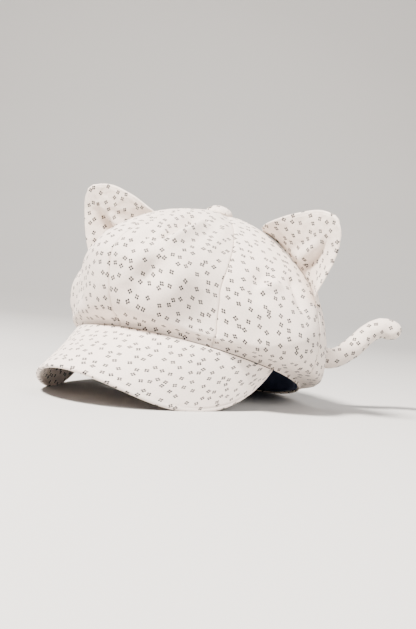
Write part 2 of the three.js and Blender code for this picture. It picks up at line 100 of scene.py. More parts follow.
CROWN_SECTIONS = {
    "front": (1.00, 1.02, 1.13, 1.21, 1.28, 1.335, 1.36, 1.31, 1.19, 1.03, 0.84, 0.63, 0.42, 0.21),
    "front_height": (0, 0.028, 0.06, 0.12, 0.205, 0.305, 0.4, 0.5, 0.6, 0.705, 0.81, 0.9, 0.965, 1),
    "side": (1.00, 1.02, 1.12, 1.22, 1.28, 1.31, 1.30, 1.25, 1.16, 1.02, 0.84, 0.61, 0.335, 0.00),
    "side_height": (0, 0.02, 0.04, 0.072, 0.12, 0.2, 0.3, 0.41, 0.535, 0.66, 0.77, 0.88, 0.96, 1),
    "forward": (0, 0, 0, 0.01, 0.06, 0.11, 0.14, 0.145, 0.13, 0.13, 0.155, 0.185, 0.205, 0.21),
    "back": (1.00, 1.01, 1.06, 1.06, 1.01, 0.935, 0.85, 0.76, 0.67, 0.565, 0.435, 0.265, 0.05, -0.21),
    "back_height": (0, 0.028, 0.055, 0.105, 0.18, 0.27, 0.37, 0.475, 0.58, 0.68, 0.78, 0.865, 0.94, 1),
}
SWEATBAND_SECTIONS = {"front": (1.0, 0.975, 0.945), "back": (1.0, 0.88, 0.76)}
EAR_OUTLINE = {
    "height": (0.0, 0.12, 0.26, 0.40, 0.55, 0.70, 0.82, 0.92, 0.98, 1.0),
    "inner": (-1.0, -0.93, -0.84, -0.73, -0.60, -0.43, -0.28, -0.11, 0.06, 0.17),
    "outer": (1.0, 0.98, 0.94, 0.89, 0.80, 0.69, 0.58, 0.46, 0.33, 0.22),
    "cup": (0.0, 0.7, 1.0, 0.8, 0.5, 0.2, 0.0, 0.0, 0.0, 0.0),
}
# Points of the tail's middle line: shares of its reach and of its rise.
TAIL_ROUTE = (
    (0.12, -0.02), (0.28, 0.06), (0.42, 0.28), (0.52, 0.52), (0.63, 0.80), (0.76, 0.98),
    (0.90, 0.99), (1.00, 0.90),
)

# Folds of the crown: from turn, from along, to turn, to along, then height and width as shares of
# FOLD_HEIGHT and FOLD_WIDTH. Hollows have a negative height.
FOLDS = (
    (18, 0.58, 22, 0.73, 0.7, 0.50),
    (13, 0.60, 17, 0.75, -0.9, 0.70),
    (12, 0.57, 12, 0.64, 0.4, 0.40),
    (7, 0.48, 10, 0.57, -0.4, 0.55),
    (14, 0.37, 18, 0.45, -0.5, 0.60),
    (10, 0.29, 17, 0.42, -0.4, 0.75),
    (23, 0.34, 27, 0.43, 0.5, 0.90),
    (31, 0.14, 43, 0.44, -0.6, 1.50),
    (60, 0.53, 62, 0.61, -0.6, 0.60),
    (61, 0.54, 67, 0.59, 0.5, 0.45),
    (76, 0.63, 79, 0.55, -0.4, 0.50),
    (56, 0.21, 79, 0.40, 0.5, 0.90),
    (62, 0.10, 73, 0.27, -0.4, 0.65),
    (78, 0.12, 85, 0.30, -0.4, 0.65),
    (113, 0.45, 119, 0.65, -0.4, 1.00),
    (156, 0.30, 163, 0.55, -0.4, 1.10),
    (205, 0.30, 198, 0.55, -0.4, 1.10),
    (248, 0.25, 240, 0.50, -0.4, 1.00),
    (297, 0.25, 305, 0.50, -0.5, 1.10),
    (337, 0.28, 342, 0.50, -0.4, 1.00),
)
# Finer creases, which only the cloth shows, in the same order of values.
CREASES = (
    (18.0, 0.59, 22, 0.735, 0.46, 0.20),
    (14.5, 0.60, 18.5, 0.73, -0.34, 0.28),
    (61.5, 0.545, 65, 0.578, 0.40, 0.18),
    (65, 0.578, 68, 0.585, 0.32, 0.18),
    (75.5, 0.635, 78.5, 0.55, -0.32, 0.19),
    (11.8, 0.565, 12.6, 0.64, 0.28, 0.19),
    (26, 0.62, 30, 0.80, -0.12, 0.40),
    (34, 0.60, 37, 0.78, 0.11, 0.35),
    (3, 0.35, 9, 0.45, -0.20, 0.32),
    (50, 0.18, 60, 0.30, -0.20, 0.42),
    (66, 0.16, 82, 0.33, 0.22, 0.32),
    (300, 0.40, 312, 0.52, 0.06, 0.45),
    (340, 0.40, 350, 0.60, -0.06, 0.45),
    (120, 0.25, 128, 0.42, -0.07, 0.40),
    (140, 0.25, 134, 0.40, 0.07, 0.40),
    (220, 0.20, 230, 0.38, -0.07, 0.45),
)

# Detail of the cloth pieces that the solids don't have, in millimetres. Each ramp is a pair of
# shares of the way up, between which that detail sets in or fades out.
FOLD_GAIN = 1.3
FOLD_RAMP = (0.12, 0.3)
SEAM_RAMP = (0.08, 0.2)
SEAM_LINE_RAMP = (-0.02, 0.04)
RUMPLE_HEIGHT = 0.5
RUMPLE_SIZE = 30.0
SEAM_LINE_DEPTH = 0.75
SEAM_LINE_WIDTH = 0.9
SEAM_LINE_HALF_GAP = 0.12
PUCKER_HEIGHT = 0.16
PUCKER_WAVE = 2.1
PUCKER_WIDTH = 4.5
PUCKER_TURN = 1.7
PUCKER_DRIFT = 1.3
PUCKER_DRIFT_WAVE = 9.0
BUTTON_RUCK_HEIGHT = 0.22
BUTTON_RUCKS = 14
BUTTON_CUT = 1.3
BRIM_EDGE_ROLL = 1.6
BRIM_STITCH_INSET = 4.2
BRIM_STITCH_GROOVE = 0.30
BRIM_STITCH_GROOVE_WIDTH = 0.7
BRIM_STITCH_HEIGHT = 0.05
BRIM_STITCH_WAVE = 0.55
BRIM_STITCH_WIDTH = 0.9
BRIM_RUMPLE_HEIGHT = 0.35
BRIM_RUMPLE_SIZE = 34.0
EAR_DART_FOOT = 0.02
EAR_DART_SLANT = 0.42
EAR_DART_INNER_REACH = 5.0
EAR_DART_RAMP = (0.35, 0.72)
EAR_HOLLOW_RAMP = (0.4, 0.85)
EAR_LAP_HEIGHT = 5.0
EAR_LAP_REACH = 18.0
EAR_CREASE_DEPTH = 1.5
EAR_CREASE_WIDTH = 2.2
EAR_RIPPLE_HEIGHT = 0.8
EAR_RIPPLE_SIZE = 15.0
EAR_EDGE_ROLL = 3.2
EAR_STITCH_INSET = 2.8
EAR_STITCH_GROOVE = 0.25
EAR_STITCH_GROOVE_WIDTH = 0.8
TAIL_RUMPLE_HEIGHT = 0.35
TAIL_RUMPLE_SIZE = 9.0
TAIL_SEAM_DEPTH = 0.45
TAIL_SEAM_ANGLE = 4.2
TAIL_SEAM_WIDTH = 0.10
TAIL_ROOT_LENGTH = 7.0
UNEVENNESS_SEEDS = {"gore": 1.0, "brim": 11.0, "ear_left": 22.0, "ear_right": 20.0, "tail": 31.0}

# Where the seams and the ears stand round the crown, in degrees.
GORE_TURN = 45.0
EAR_TURN = 90.0

# How closely each piece is drawn: columns round or across it, and rows up or out. Crowding and
# easing draw them closer together near the edges.
GORE_COLUMNS = 44
GORE_ROWS = 92
GORE_CROWDING = 0.6
BUTTON_SIDES = 72
BUTTON_RINGS = 26
BRIM_COLUMNS = 150
BRIM_ROWS = 44
BRIM_CROWDING = 0.35
BRIM_EASING = 1.35
LINING_COLUMNS = 96
LINING_ROWS = 40
SWEATBAND_COLUMNS = 128
SWEATBAND_ROWS = 16
EAR_COLUMNS = 70
EAR_ROWS = 60
EAR_CROWDING = 0.45
EAR_EASING = 1.5
TAIL_SIDES = 40
TAIL_RINGS = 150

GORE_NAMES = (
    "gore_front_left", "gore_side_front_left", "gore_side_back_left", "gore_back_left",
    "gore_back_right", "gore_side_back_right", "gore_side_front_right", "gore_front_right",
)
EAR_NAMES = {1: "ear_left", -1: "ear_right"}

# Where each piece is cut from the printed cloth, in millimetres. Each gore is cut this far on from
# the last one, and a little aslant, in degrees.
GORE_CUT = (137.0, 61.0)
GORE_CUT_SLANT = 4.0
CUT_FROM = {
    "button": (900, 900),
    "brim_upper_cover": (0, 0),
    "brim_under_cover": (500, 300),
    "ear_left": (1500, 40),
    "ear_right": (1100, 40),
    "tail": (1700, 0),
}

# The print and the weave, in millimetres. Jitter runs from 0, in rows, to 1, scattered. Scales are
# per millimetre.
MOTIF_PITCH = 7.7
MOTIF_JITTER = 0.62
DOT_OFFSET = 0.78
DOT_RADIUS = 0.74
DOT_EDGE = 0.10
DOT_RAGGEDNESS = 0.5
INK = (0.009, 0.009, 0.013)
INK_COVER = 0.97
THREAD_PITCH = 0.55
WEAVE_IN_COLOUR = 0.25
WEAVE_IN_RELIEF = 0.35
SLUB_SCALE = 0.8
SLUB_DETAIL = 4
FLECK_FLOOR = 0.35
FLECK_GAIN = 3.0
FLECK_SHADE = 0.74
GRAIN_SHARE = 0.42
DRIFT_SCALE = 0.035
DRIFT_DETAIL = 3

# Finishes: bump strength and distance in metres, roughness, specular level and sheen.
COTTON_BUMP = (0.5, 0.0008)
COTTON_ROUGHNESS = 0.82
COTTON_SPECULAR = 0.15
COTTON_SHEEN = 0.12
COTTON_SHEEN_ROUGHNESS = 0.55
NAVY_BUMP = (0.4, 0.0003)
NAVY_ROUGHNESS = 0.85
NAVY_SPECULAR = 0.2
PAPER_ROUGHNESS = 0.9

# Cloth colours: the two tones that each printed cotton drifts between, and the dark cloths.
CROWN_COTTON = ((0.90, 0.785, 0.70), (0.84, 0.73, 0.66))
BRIM_COTTON = ((0.92, 0.81, 0.73), (0.88, 0.77, 0.70))
EAR_AND_TAIL_COTTON = ((0.90, 0.79, 0.695), (0.85, 0.74, 0.665))
LINING_NAVY = (0.030, 0.040, 0.080)
LINING_TWILL = 1.6
SWEATBAND_NAVY = (0.026, 0.034, 0.068)
SWEATBAND_TWILL = 2.4

# The camera, solved from the rim and the outline: degrees, metres, and the lens in millimetres.
CAMERA_AZIMUTH = 33.55
CAMERA_ELEVATION = 1.637
CAMERA_ROLL = 5.68
CAMERA_PLACE = (0.41143, -0.59384, 0.08594)
CAMERA_LENS = 53.14
CAMERA_SENSOR = 36

# Name, azimuth, elevation, distance, size, power and colour. All of them face a point LIT_HEIGHT
# above the origin.
LIGHTS = (
    ("key", -8, 56, 1.6, 0.34, 156, (1.0, 0.94, 0.87)),
    ("fill", 82, 28, 1.8, 0.9, 32, (1.0, 0.965, 0.93)),
    ("back", 190, 50, 1.9, 1.0, 14, (1.0, 0.99, 0.97)),
)
LIT_HEIGHT = 0.08
WORLD_COLOUR = (0.955, 0.965, 1.0)
WORLD_STRENGTH = 0.32

# The paper sweep: how far behind the cap, as the camera sees it, and how high, in metres.
STAGE_PROFILE = (
    (-6.0, 0.0), (1.2, 0.0), (1.5, 0.03), (1.75, 0.13), (1.95, 0.32), (2.05, 0.6), (2.08, 2.6),
)
STAGE_WIDTH = 20.0
STAGE_STEPS = 12
STAGE_COLOURS = ((0.50, 0.49, 0.48), (0.46, 0.45, 0.44))


def smooth_step(low, high, value):
    share = np.clip((value - low) / (high - low), 0, 1)
    return share * share * (3 - 2 * share)


def bell(distance, width):
    return np.exp(-((distance / width) ** 2))


def length(v):
    return np.linalg.norm(v, axis=-1)


def unit(v):
    return v / np.maximum(length(v)[..., None], 1e-9)


def grid(columns, rows):
    return np.meshgrid(np.asarray(columns, float), np.asarray(rows, float), indexing="ij")


def round_turns(count):
    return np.arange(count) * 360 / count


def crowded(count, share):
    """Values from -1 to 1, a share of them crowding towards both ends."""
    even = np.linspace(-1, 1, count + 1)
    return share * np.sin(even * math.pi / 2) + (1 - share) * even


def eased(count, power):
    """Values from 0 to 1 that crowd towards 1."""
    return 1 - (1 - np.linspace(0, 1, count + 1)) ** power


def column(rows, share):
    """A smooth curve through evenly spaced rows, read at a share of the way along them."""
    rows = np.asarray(rows, float)
    last = len(rows) - 1
    place = np.clip(np.asarray(share, float) * last, 0, last)
    row = np.minimum(last - 1, np.floor(place)).astype(int)
    t = place - row
    here = rows[row]
    there = rows[row + 1]
    leaving = np.where(row > 0, (there - rows[np.maximum(row - 1, 0)]) / 2, rows[1] - rows[0])
    arriving = np.where(
        row + 1 < last, (rows[np.minimum(row + 2, last)] - here) / 2, rows[last] - rows[last - 1]
    )
    rise = there - here
    bend = 3 * rise - 2 * leaving - arriving
    twist = leaving + arriving - 2 * rise
    return here + t * (leaving + t * (bend + t * twist))


def crown_surface(turn, along):
    turn, along = np.broadcast_arrays(np.asarray(turn, float), np.asarray(along, float))
    c = np.cos(np.radians(turn))
    s = np.sin(np.radians(turn))
    read = {name: column(rows, along) for name, rows in CROWN_SECTIONS.items()}
    front = c > 0
    front_flatness = FRONT_FLATNESS * smooth_step(0.02, 0.4, along)
    back_flatness = BACK_FLATNESS * smooth_step(0.02, 0.6, along)
    flatness = np.where(front, front_flatness, back_flatness)
    ease = 1 - flatness * np.sin(2 * np.radians(turn)) ** 2
    shift = read["forward"] * RIM_HALF_DEPTH
    front_end = read["front"] * RIM_HALF_DEPTH - shift
    back_end = read["back"] * RIM_HALF_DEPTH + shift
    x = read["side"] * RIM_HALF_WIDTH * s * ease
    y = -shift - np.where(front, front_end, back_end) * c * ease
    end_height = np.where(front, read["front_height"], read["back_height"])
    z = CROWN_HEIGHT * (read["side_height"] + (end_height - read["side_height"]) * c * c)
    lean = np.radians(CROWN_LEAN) * smooth_step(0.08, 0.3, along)
    return np.stack([x * np.cos(lean) + z * np.sin(lean), y, z * np.cos(lean) - x * np.sin(lean)], -1)


def surface_frame(surface, first, second, first_step, second_step):
    """The two slopes of a surface at each place, and the unit normal between them."""
    along_u = surface(first + first_step, second) - surface(first - first_step, second)
    along_v = surface(first, second + second_step) - surface(first, second - second_step)
    return along_u / (2 * first_step), along_v / (2 * second_step), unit(np.cross(along_u, along_v))


def crown_frame(turn, along):
    turn_step, along_step = 0.5, 0.004
    safe = np.clip(along, along_step, 1 - 2 * along_step)
    return surface_frame(crown_surface, turn, safe, turn_step, along_step)


def arc_along(points, axis):
    """Length along the cloth from its first row or column, at every point."""
    steps = np.cumsum(length(np.diff(points, axis=axis)), axis)
    start = np.zeros_like(np.take(steps, [0], axis))
    return np.concatenate([start, steps], axis)


def relief_of(table, turn, along, across_size, up_size):
    relief = np.zeros_like(turn)
    for from_turn, from_along, to_turn, to_along, height, width in table:
        across = (to_turn - from_turn) * across_size
        up = (to_along - from_along) * up_size
        x = (turn - from_turn) * across_size
        y = (along - from_along) * up_size
        share = np.clip((x * across + y * up) / (across * across + up * up), 0, 1)
        distance = np.hypot(x - across * share, y - up * share)
        relief += height * FOLD_HEIGHT * bell(distance, width * FOLD_WIDTH)
    return relief


def fractal(points, size, seed):
    """Soft random unevenness at each point, the same on every run."""
    roughness, lacunarity, octaves = 0.6, 2.1, 3
    offset = Vector((seed * 7.3, seed * 3.1, seed * 5.7))
    values = [
        noise.fractal(Vector(point) / size + offset, roughness, lacunarity, octaves)
        for point in points.reshape(-1, 3)
    ]
    return np.array(values).reshape(points.shape[:-1])


def along_at_radius(turn, radius):
    """How far up the crown lies a place this far from its top."""
    turn, radius = np.broadcast_arrays(np.asarray(turn, float), np.asarray(radius, float))
    top = crown_surface(turn, np.ones_like(turn))
    low = np.full(turn.shape, 0.75)
    high = np.ones(turn.shape)
    for _ in range(30):
        middle = (low + high) / 2
        outside = length(crown_surface(turn, middle) - top) > radius
        low = np.where(outside, middle, low)
        high = np.where(outside, high, middle)
    return low


def placed(points):
    """Cap frame in millimetres to the row frame in metres, pressed flat where it meets the floor."""
    points = np.asarray(points, float)
    c, s = math.cos(math.radians(REST_TILT)), math.sin(math.radians(REST_TILT))
    x, y, z = points[..., 0], points[..., 1], points[..., 2]
    out = np.stack([x + PLACE[0], y * c + z * s + PLACE[1], z * c - y * s + PLACE[2]], -1)
    out[..., 2] = np.maximum(out[..., 2], 0)
    return out / 1000


def add_mesh(name, points, faces, uvs, material):
    mesh = bpy.data.meshes.new(name)
    mesh.from_pydata([tuple(p) for p in placed(points).reshape(-1, 3)], [], faces)
    layer = mesh.uv_layers.new(name="cloth")
    flat = np.asarray(uvs, float).reshape(-1, 2)
    for loop in mesh.loops:
        layer.data[loop.index].uv = flat[loop.vertex_index]
    mesh.materials.append(material)
    mesh.polygons.foreach_set("use_smooth", [True] * len(mesh.polygons))
    mesh.update()
    obj = bpy.data.objects.new(name, mesh)
    bpy.context.scene.collection.objects.link(obj)
    return obj


def grid_faces(columns, rows, closed=False, start=0, flip=False):
    faces = []
    for i in range(columns if closed else columns - 1):
        for j in range(rows - 1):
            a = start + i * rows + j
            b = start + ((i + 1) % columns) * rows + j
            quad = (a, b, b + 1, a + 1)
            faces.append(quad[::-1] if flip else quad)
    return faces


def slab(name, front, back, uvs, material, closed=False):
    """A closed solid between two grids of points of the same size, as columns and rows."""
    columns, rows = front.shape[:2]
    second = columns * rows
    faces = grid_faces(columns, rows, closed) + grid_faces(columns, rows, closed, second, True)
    spans = columns if closed else columns - 1
    for i in range(spans):
        a, b = i * rows, ((i + 1) % columns) * rows
        faces.append((a, second + a, second + b, b))
        a, b = a + rows - 1, b + rows - 1
        faces.append((a, b, second + b, second + a))
    if not closed:
        end = (columns - 1) * rows
        for j in range(rows - 1):
            faces.append((j, j + 1, second + j + 1, second + j))
            faces.append((end + j, second + end + j, second + end + j + 1, end + j + 1))
    points = np.concatenate([front.reshape(-1, 3), back.reshape(-1, 3)])
    both = np.concatenate([uvs.reshape(-1, 2), uvs.reshape(-1, 2)])
    return add_mesh(name, points, faces, both, material)


def finish_piece(obj, node):
    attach(obj, "root")
    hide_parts(node)


def new_material(name):
    material = bpy.data.materials.new(name)
    material.use_nodes = True
    tree = material.node_tree
    tree.nodes.clear()
    output = tree.nodes.new("ShaderNodeOutputMaterial")
    shader = tree.nodes.new("ShaderNodeBsdfPrincipled")
    tree.links.new(shader.outputs[0], output.inputs[0])
    return material, tree, shader


def feed(tree, socket, value):
    """Sets a socket to a number or a colour, or links it to another node's output."""
    if isinstance(value, tuple):
        socket.default_value = (*value, 1)
    elif isinstance(value, (int, float)):
        socket.default_value = value
    else:
        tree.links.new(value, socket)


def math_node(tree, operation, *values):
    node = tree.nodes.new("ShaderNodeMath")
    node.operation = operation
    for socket, value in zip(node.inputs, values):
        feed(tree, socket, value)
    return node.outputs[0]


def mix_colour(tree, share, first, second):
    node = tree.nodes.new("ShaderNodeMix")
    node.data_type = "RGBA"
    for socket, value in ((node.inputs[0], share), (node.inputs[6], first), (node.inputs[7], second)):
        feed(tree, socket, value)
    return node.outputs[2]


def noise_node(tree, vector, scale, detail=2.0):
    node = tree.nodes.new("ShaderNodeTexNoise")
    node.inputs["Scale"].default_value = scale
    node.inputs["Detail"].default_value = detail
    tree.links.new(vector, node.inputs["Vector"])
    return node.outputs["Fac"]


def cloth_place(tree):
    """The place on the cloth, in millimetres, and its two parts."""
    uv = tree.nodes.new("ShaderNodeUVMap")
    uv.uv_map = "cloth"
    parts = tree.nodes.new("ShaderNodeSeparateXYZ")
    tree.links.new(uv.outputs[0], parts.inputs[0])
    return uv.outputs[0], parts.outputs[0], parts.outputs[1]


def bump_node(tree, height, strength, distance):
    bump = tree.nodes.new("ShaderNodeBump")
    bump.inputs["Strength"].default_value = strength
    bump.inputs["Distance"].default_value = distance
    tree.links.new(height, bump.inputs["Height"])
    return bump.outputs[0]


def dot_print(tree, where):
    """The share of ink: small clusters of four dots, scattered and turned, with ragged edges."""
    scaled = tree.nodes.new("ShaderNodeVectorMath")
    scaled.operation = "SCALE"
    scaled.inputs["Scale"].default_value = 1 / MOTIF_PITCH
    tree.links.new(where, scaled.inputs[0])
    cells = tree.nodes.new("ShaderNodeTexVoronoi")
    cells.voronoi_dimensions = "2D"
    cells.inputs["Scale"].default_value = 1
    cells.inputs["Randomness"].default_value = MOTIF_JITTER
    tree.links.new(scaled.outputs[0], cells.inputs["Vector"])
    local = tree.nodes.new("ShaderNodeVectorMath")
    local.operation = "SUBTRACT"
    tree.links.new(scaled.outputs[0], local.inputs[0])
    tree.links.new(cells.outputs["Position"], local.inputs[1])
    chance = tree.nodes.new("ShaderNodeSeparateColor")
    tree.links.new(cells.outputs["Color"], chance.inputs[0])
    turned = tree.nodes.new("ShaderNodeVectorRotate")
    turned.rotation_type = "Z_AXIS"
    tree.links.new(local.outputs[0], turned.inputs["Vector"])
    tree.links.new(math_node(tree, "MULTIPLY", chance.outputs[0], 2 * math.pi), turned.inputs["Angle"])
    parts = tree.nodes.new("ShaderNodeSeparateXYZ")
    tree.links.new(turned.outputs[0], parts.inputs[0])
    squares = []
    for part in (parts.outputs[0], parts.outputs[1]):
        off = math_node(tree, "SUBTRACT", math_node(tree, "ABSOLUTE", part), DOT_OFFSET / MOTIF_PITCH)
        squares.append(math_node(tree, "MULTIPLY", off, off))
    cell_distance = math_node(tree, "SQRT", math_node(tree, "ADD", *squares))
    distance = math_node(tree, "MULTIPLY", cell_distance, MOTIF_PITCH)
    uneven = math_node(tree, "SUBTRACT", noise_node(tree, where, 1.4), 0.5)
    ragged = math_node(tree, "MULTIPLY", uneven, DOT_RAGGEDNESS)
    edge = tree.nodes.new("ShaderNodeMapRange")
    edge.interpolation_type = "SMOOTHSTEP"
    edge.inputs["From Min"].default_value = DOT_RADIUS - DOT_EDGE
    edge.inputs["From Max"].default_value = DOT_RADIUS + DOT_EDGE
    edge.inputs["To Min"].default_value = 1
    edge.inputs["To Max"].default_value = 0
    tree.links.new(math_node(tree, "ADD", distance, ragged), edge.inputs["Value"])
    return math_node(tree, "MULTIPLY", edge.outputs[0], INK_COVER)


def cloth_material(name, base, shade):
    """Matte printed cotton: a fine weave with flecks, and a broad drift between two tones."""
    material, tree, shader = new_material(name)
    where, across, up = cloth_place(tree)
    ink = dot_print(tree, where)
    thread_turns = 2 * math.pi / THREAD_PITCH
    warp = math_node(tree, "SINE", math_node(tree, "MULTIPLY", across, thread_turns))
    weft = math_node(tree, "SINE", math_node(tree, "MULTIPLY", up, thread_turns))
    weave = math_node(tree, "MULTIPLY", warp, weft)
    slub = noise_node(tree, where, SLUB_SCALE, SLUB_DETAIL)
    above_floor = math_node(tree, "SUBTRACT", slub, FLECK_FLOOR)
    flecks = math_node(tree, "MULTIPLY", above_floor, FLECK_GAIN)
    broad = noise_node(tree, where, DRIFT_SCALE, DRIFT_DETAIL)

    tone = mix_colour(tree, broad, base, shade)
    uneven = math_node(tree, "ADD", math_node(tree, "MULTIPLY", weave, WEAVE_IN_COLOUR), flecks)
    grain = math_node(tree, "MULTIPLY", uneven, GRAIN_SHARE)
    cloth = mix_colour(tree, grain, tone, tuple(c * FLECK_SHADE for c in shade))
    tree.links.new(mix_colour(tree, ink, cloth, INK), shader.inputs["Base Color"])

    height = math_node(tree, "ADD", math_node(tree, "MULTIPLY", weave, WEAVE_IN_RELIEF), slub)
    tree.links.new(bump_node(tree, height, *COTTON_BUMP), shader.inputs["Normal"])
    rough = math_node(tree, "ADD", math_node(tree, "MULTIPLY", slub, 0.12), COTTON_ROUGHNESS)
    tree.links.new(rough, shader.inputs["Roughness"])
    shader.inputs["Specular IOR Level"].default_value = COTTON_SPECULAR
    shader.inputs["Sheen Weight"].default_value = COTTON_SHEEN
    shader.inputs["Sheen Roughness"].default_value = COTTON_SHEEN_ROUGHNESS
    return material


def dark_material(name, base, thread):
    """Plain dark twill: the lining and the sweatband."""
    material, tree, shader = new_material(name)
    where, across, up = cloth_place(tree)
    twill = math_node(tree, "ADD", across, up)
    ridges = math_node(tree, "SINE", math_node(tree, "MULTIPLY", twill, 2 * math.pi / thread))
    fuzz = noise_node(tree, where, SLUB_SCALE, SLUB_DETAIL)
    share = math_node(tree, "ADD", math_node(tree, "MULTIPLY", ridges, 0.2), fuzz)
    lighter = tuple(c * 1.8 for c in base)
    colour = mix_colour(tree, math_node(tree, "MULTIPLY", share, 0.5), base, lighter)
    tree.links.new(colour, shader.inputs["Base Color"])
    tree.links.new(bump_node(tree, share, *NAVY_BUMP), shader.inputs["Normal"])
    rough = math_node(tree, "ADD", math_node(tree, "MULTIPLY", fuzz, 0.1), NAVY_ROUGHNESS)
    tree.links.new(rough, shader.inputs["Roughness"])
    shader.inputs["Specular IOR Level"].default_value = NAVY_SPECULAR
    return material


def gore_relief(order, turn, along, base, sizes):
    """How far a gore's cloth stands off the crown's surface, in millimetres."""
    across_size, up_size = sizes
    settled = smooth_step(*FOLD_RAMP, along)
    relief = FOLD_GAIN * settled * relief_of(FOLDS, turn, along, across_size, up_size)
    relief += settled * relief_of(CREASES, turn, along, across_size, up_size)
    to_seam = np.minimum(turn - order * GORE_TURN, (order + 1) * GORE_TURN - turn) * across_size
    ramp = smooth_step(*SEAM_RAMP, along)
    relief -= ramp * SEAM_DEPTH * bell(to_seam, SEAM_WIDTH)
    seam_line = SEAM_LINE_DEPTH * bell(to_seam, SEAM_LINE_WIDTH)
    relief -= seam_line * smooth_step(*SEAM_LINE_RAMP, along)
    arc = arc_along(base, 1)
    drift = PUCKER_DRIFT * np.sin(arc / PUCKER_DRIFT_WAVE)
    pucker = np.sin(arc / PUCKER_WAVE + PUCKER_TURN * order + drift)
    relief += PUCKER_HEIGHT * ramp * pucker * bell(to_seam, PUCKER_WIDTH)
    relief += RUMPLE_HEIGHT * ramp * fractal(base, RUMPLE_SIZE, UNEVENNESS_SEEDS["gore"])
    return relief


def make_gore(order):
    shares = (1 + crowded(GORE_COLUMNS, GORE_CROWDING)) / 2
    turn, up = grid((order + shares) * GORE_TURN, np.linspace(0, 1, GORE_ROWS + 1))
    along = along_at_radius(turn[:, 0], EYE_RADIUS)[:, None] * up
    base = crown_surface(turn, along)
    along_u, along_v, normal = crown_frame(turn, along)
    across_size = length(along_u)
    relief = gore_relief(order, turn, along, base, (across_size, length(along_v)))
    outer = base + normal * relief[..., None]
    inner = base + normal * (relief - CLOTH_THICKNESS)[..., None]
    side = unit(along_u)
    for sheet in (outer, inner):
        sheet[0] += side[0] * SEAM_LINE_HALF_GAP
        sheet[-1] -= side[-1] * SEAM_LINE_HALF_GAP
    u = (turn - (order + 0.5) * GORE_TURN) * across_size
    v = np.broadcast_to(arc_along(base, 1)[GORE_COLUMNS // 2], u.shape)
    slant = math.radians(GORE_CUT_SLANT * math.sin(2.1 * order + 0.4))
    uv = np.stack([
        u * math.cos(slant) - v * math.sin(slant) + GORE_CUT[0] * order,
        u * math.sin(slant) + v * math.cos(slant) + GORE_CUT[1] * order,
    ], -1)
    name = GORE_NAMES[order]
    finish_piece(slab(name + "_cloth", outer, inner, uv, crown_cloth), name)


def make_button():
    reaches = np.sin(np.radians(np.linspace(90, 2, BUTTON_RINGS)))
    turn, reach = grid(round_turns(BUTTON_SIDES), reaches)
    angle = np.radians(turn)
    base = crown_surface(turn, along_at_radius(turn, BUTTON_RADIUS * reach))
    lean = math.radians(CROWN_LEAN)
    axis = np.array([math.sin(lean), 0, math.cos(lean)])
    bulge = np.sqrt(np.clip(1 - reach ** 2.4, 0, 1)) ** 0.9
    dome = BUTTON_SKIRT + (BUTTON_HEIGHT - BUTTON_SKIRT) * bulge
    ruck = BUTTON_RUCK_HEIGHT * np.sin(angle * BUTTON_RUCKS + np.sin(angle * 3))
    ruck = ruck * smooth_step(0.7, 1, reach)
    seat = CLEARANCE - 0.65 * SEAM_DEPTH
    outer = base + axis * (dome + ruck)[..., None]
    under = base + axis * seat
    flat = np.stack([reach * np.sin(angle), reach * np.cos(angle)], -1) * BUTTON_RADIUS * BUTTON_CUT
    obj = slab("button_cover", outer, under, flat + CUT_FROM["button"], warm_cloth, closed=True)
    finish_piece(obj, "button")


def brim_reach(side):
    taper = np.clip(1 - np.abs(side) ** BRIM_CORNER_POWER, 0, None) ** (1 / BRIM_EDGE_POWER)
    return BRIM_CORNER_LENGTH + (BRIM_LENGTH - BRIM_CORNER_LENGTH) * taper


def brim_surface(side, out):
    """The sheet between the covers: side runs from -1 to 1, out from 0 at the rim to 1."""
    turn = side * math.radians(BRIM_SPAN)
    reach = brim_reach(side)
    droop = np.radians(BRIM_DROOP + BRIM_ARCH * side * side)
    heading = BRIM_FAN * turn
    out_flat = reach * out * np.cos(droop)
    seat = CLEARANCE + (BRIM_COVER_THICKNESS + CLEARANCE / 2) * np.cos(droop)
    return np.stack([
        RIM_HALF_WIDTH * np.sin(turn) + out_flat * np.sin(heading),
        -RIM_HALF_DEPTH * np.cos(turn) - out_flat * np.cos(heading),
        -seat - reach * out * np.sin(droop),
    ], -1)


def make_brim(node):
    side, out = grid(crowded(BRIM_COLUMNS, BRIM_CROWDING), eased(BRIM_ROWS, BRIM_EASING))
    base = brim_surface(side, out)
    reach = brim_reach(side)
    step = 0.01
    inside = np.clip(side, 2 * step - 1, 1 - 2 * step)
    _, _, normal = surface_frame(brim_surface, inside, np.maximum(out, step), step, step)
    to_edge = (1 - out) * reach
    near = CLEARANCE / 2 * smooth_step(0, 2.0, to_edge)
    roll = np.sqrt(np.clip(1 - (1 - np.clip(to_edge / BRIM_EDGE_ROLL, 0, 1)) ** 2, 0, 1))
    groove = BRIM_STITCH_GROOVE * bell(to_edge - BRIM_STITCH_INSET, BRIM_STITCH_GROOVE_WIDTH)
    arc = arc_along(base, 0)
    stitches = BRIM_STITCH_HEIGHT * np.sin(arc / BRIM_STITCH_WAVE)
    stitches = stitches * bell(to_edge - BRIM_STITCH_INSET, BRIM_STITCH_WIDTH)
    soft = BRIM_RUMPLE_HEIGHT * fractal(base, BRIM_RUMPLE_SIZE, UNEVENNESS_SEEDS["brim"])
    soft = soft * smooth_step(0, 12, to_edge)
    far = near + BRIM_COVER_THICKNESS * (0.12 + 0.88 * roll) - groove + stitches
    if node == "brim_upper_cover":
        front, back = far + soft, near + soft
    else:
        front, back = soft - near, soft - far
    uv = np.stack([arc - arc[BRIM_COLUMNS // 2], out * reach], -1) + CUT_FROM[node]
    points = base + normal * front[..., None]
    inner = base + normal * back[..., None]
    finish_piece(slab(node + "_cloth", points, inner, uv, brim_cloth), node)


